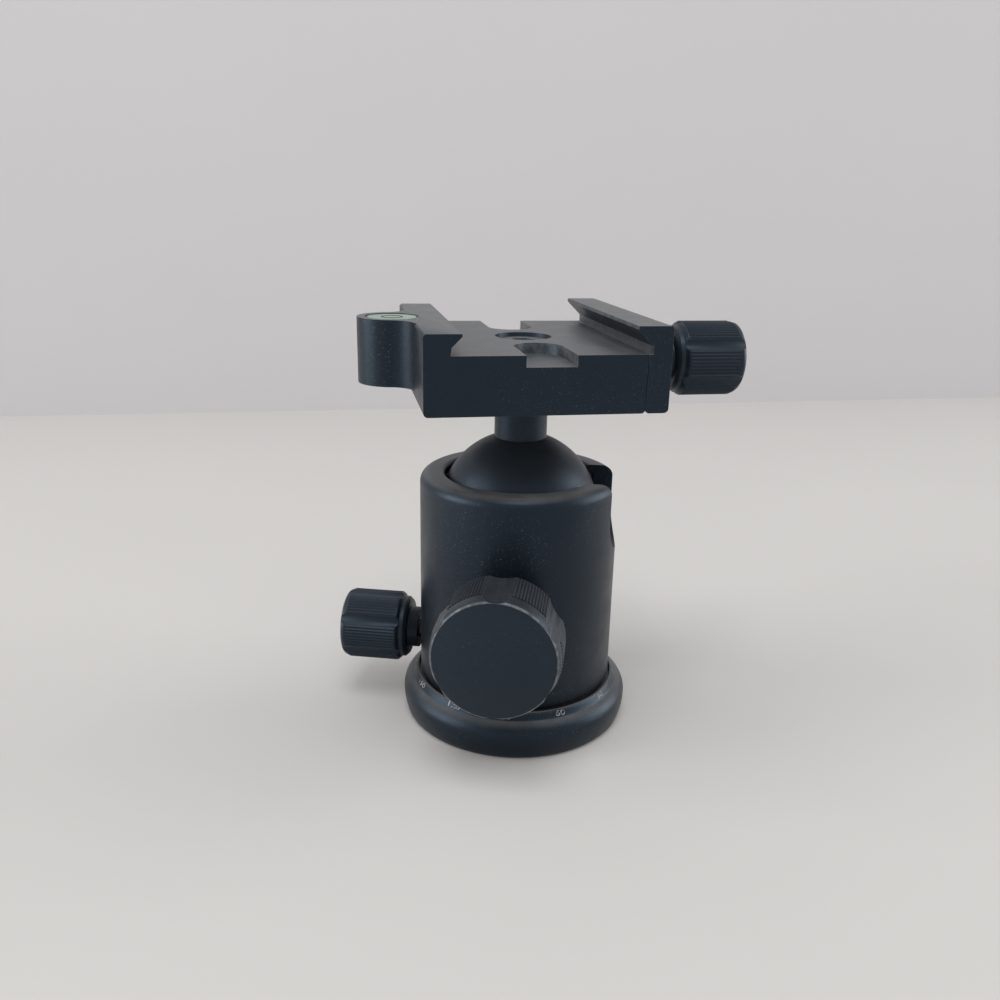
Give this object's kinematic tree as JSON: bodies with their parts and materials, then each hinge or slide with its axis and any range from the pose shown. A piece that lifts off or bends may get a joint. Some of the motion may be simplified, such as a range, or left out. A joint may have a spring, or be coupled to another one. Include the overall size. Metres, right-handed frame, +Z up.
{
  "type": "tripod ball head",
  "caption": "Compact tripod ball head: ball in a barrel with a drop notch, pan base, two lock knobs and a dovetail plate clamp with a screw jaw and a round level.",
  "frame": {"origin": "centre of the base face, at the mouth of the tripod thread", "axes": "+Z up along the pan axis; +Y along the plate channel; +X towards the clamp knob"},
  "size_m": [0.0884, 0.0687, 0.0923],
  "materials": {
    "black_anodised": "satin black anodised",
    "ball_anodised": "hard black anodised, slightly glossier",
    "knob_black": "black anodised, knurled",
    "blackened_steel": "black oxide",
    "steel": "plain steel",
    "brass": "turned",
    "acetal": "natural white",
    "acetal_black": "black",
    "spring_steel": "drawn wire",
    "level_green": "green liquid",
    "level_clear": "clear acrylic",
    "level_air": "air bubble",
    "level_print": "printed line"
  },
  "bodies": {
    "base": {"pan_base": "black_anodised", "tripod_bush": "steel", "slide_ring": "acetal", "thrust_washer": "acetal", "pan_bolt": "steel", "bolt_washer": "steel"},
    "barrel": {"housing": "black_anodised", "floor_plate": "black_anodised", "seat_ring": "acetal_black", "main_bush": "brass", "pan_bush": "brass", "disc_springs": "spring_steel"},
    "wedge": {"pressure_wedge": "brass"},
    "main_lock": {"main_knob": "knob_black", "main_screw": "steel", "knob_set_screw": "blackened_steel"},
    "cup": {"lower_cup": "acetal_black"},
    "shoe": {"brake_shoe": "brass"},
    "pan_lock": {"pan_knob": "knob_black", "pan_screw": "steel"},
    "ball_side": {"ball": "ball_anodised"},
    "ball_drop": {"stem": "ball_anodised"},
    "clamp": {"clamp_base": "black_anodised", "clamp_screw": "blackened_steel", "level_cup": "black_anodised", "level_fluid": "level_green", "level_bubble": "level_air", "level_lens": "level_clear", "level_ring": "level_print", "jaw_springs": "spring_steel"},
    "jaw": {"moving_jaw": "black_anodised", "guide_pins": "steel"},
    "jaw_lock": {"jaw_knob": "knob_black", "jaw_screw": "steel", "jaw_clip": "spring_steel", "jaw_washer": "blackened_steel"}
  },
  "joints": [
    {"name": "pan", "type": "hinge", "parent": "base", "child": "barrel", "pos_m": [0, 0, 0.02], "axis": [0, 0, 1], "continuous": true},
    {"name": "wedge_slide", "type": "slide", "parent": "barrel", "child": "wedge", "axis": [-0.3024, -0.9532, 0], "range_m": [0, 0.00075]},
    {"name": "main_knob_turn", "type": "hinge", "parent": "wedge", "child": "main_lock", "pos_m": [-0.01028, -0.03241, 0.0312], "axis": [-0.3024, -0.9532, 0], "range_deg": [0, 180]},
    {"name": "cup_slide", "type": "slide", "parent": "barrel", "child": "cup", "axis": [0, 0, -1], "range_m": [0, 0.000401], "deforming": ["disc_springs"]},
    {"name": "shoe_slide", "type": "slide", "parent": "barrel", "child": "shoe", "axis": [-0.9532, 0.3024, 0], "range_m": [0, 0.0006]},
    {"name": "pan_knob_turn", "type": "hinge", "parent": "shoe", "child": "pan_lock", "pos_m": [-0.0305, 0.00968, 0.0174], "axis": [-0.9532, 0.3024, 0], "range_deg": [0, 270]},
    {"name": "ball_side_tilt", "type": "hinge", "parent": "barrel", "child": "ball_side", "pos_m": [0, 0, 0.0485], "axis": [0.9532, -0.3024, 0], "range_deg": [-30, 30]},
    {"name": "ball_drop_tilt", "type": "hinge", "parent": "ball_side", "child": "ball_drop", "pos_m": [0, 0, 0.0485], "axis": [0.3024, 0.9532, 0], "range_deg": [-30, 90]},
    {"name": "ball_spin", "type": "hinge", "parent": "ball_drop", "child": "clamp", "pos_m": [0, 0, 0.0485], "axis": [0, 0, 1], "continuous": true},
    {"name": "jaw_slide", "type": "slide", "parent": "clamp", "child": "jaw", "axis": [1, 0, 0], "range_m": [0, 0.007], "deforming": ["jaw_springs"]},
    {"name": "jaw_knob_turn", "type": "hinge", "parent": "jaw", "child": "jaw_lock", "pos_m": [0.036, 0, 0.082], "axis": [1, 0, 0], "range_deg": [0, 2520]}
  ],
  "couplings": [
    {"joint": "main_knob_turn", "follows": "wedge_slide", "rad_per_m": 4188.8},
    {"joint": "cup_slide", "follows": "wedge_slide", "ratio": 0.53171},
    {"joint": "pan_knob_turn", "follows": "shoe_slide", "rad_per_m": 7854},
    {"joint": "jaw_knob_turn", "follows": "jaw_slide", "rad_per_m": 6283.2}
  ]
}
